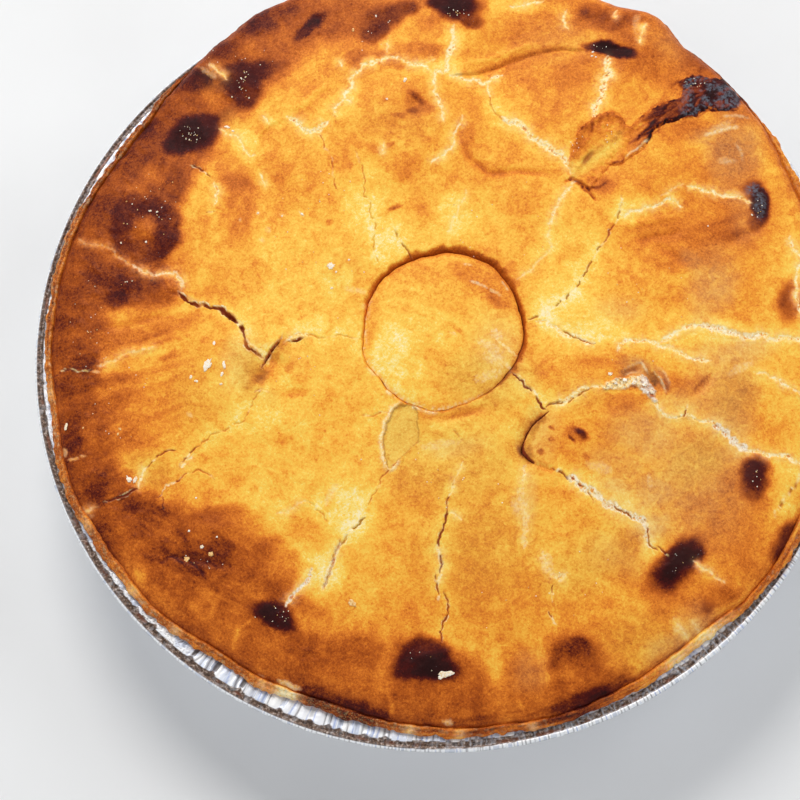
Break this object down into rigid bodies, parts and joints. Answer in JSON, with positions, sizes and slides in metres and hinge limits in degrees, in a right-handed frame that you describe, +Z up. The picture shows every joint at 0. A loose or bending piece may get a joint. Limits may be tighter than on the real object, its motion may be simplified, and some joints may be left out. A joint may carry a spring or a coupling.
{
  "type": "chicken pot pie",
  "caption": "Round uncut pot pie with a domed, cracked, egg-washed crust and a pastry disc in its middle, baked in a shallow foil tin with a rolled rim.",
  "frame": {"origin": "centre of the tin's base, on the surface it stands on", "axes": "+Z up through the middle of the pie; -Y is the side nearest the camera in the picture, +X to its right"},
  "size_m": [0.245, 0.245, 0.0512],
  "materials": {
    "foil": "bright, crinkled",
    "crust": "satin, egg-washed pastry",
    "disc_crust": "satin, egg-washed pastry"
  },
  "bodies": {
    "root": {"foil_tin": "foil", "pie": "crust", "centre_disc": "disc_crust"}
  },
  "joints": []
}
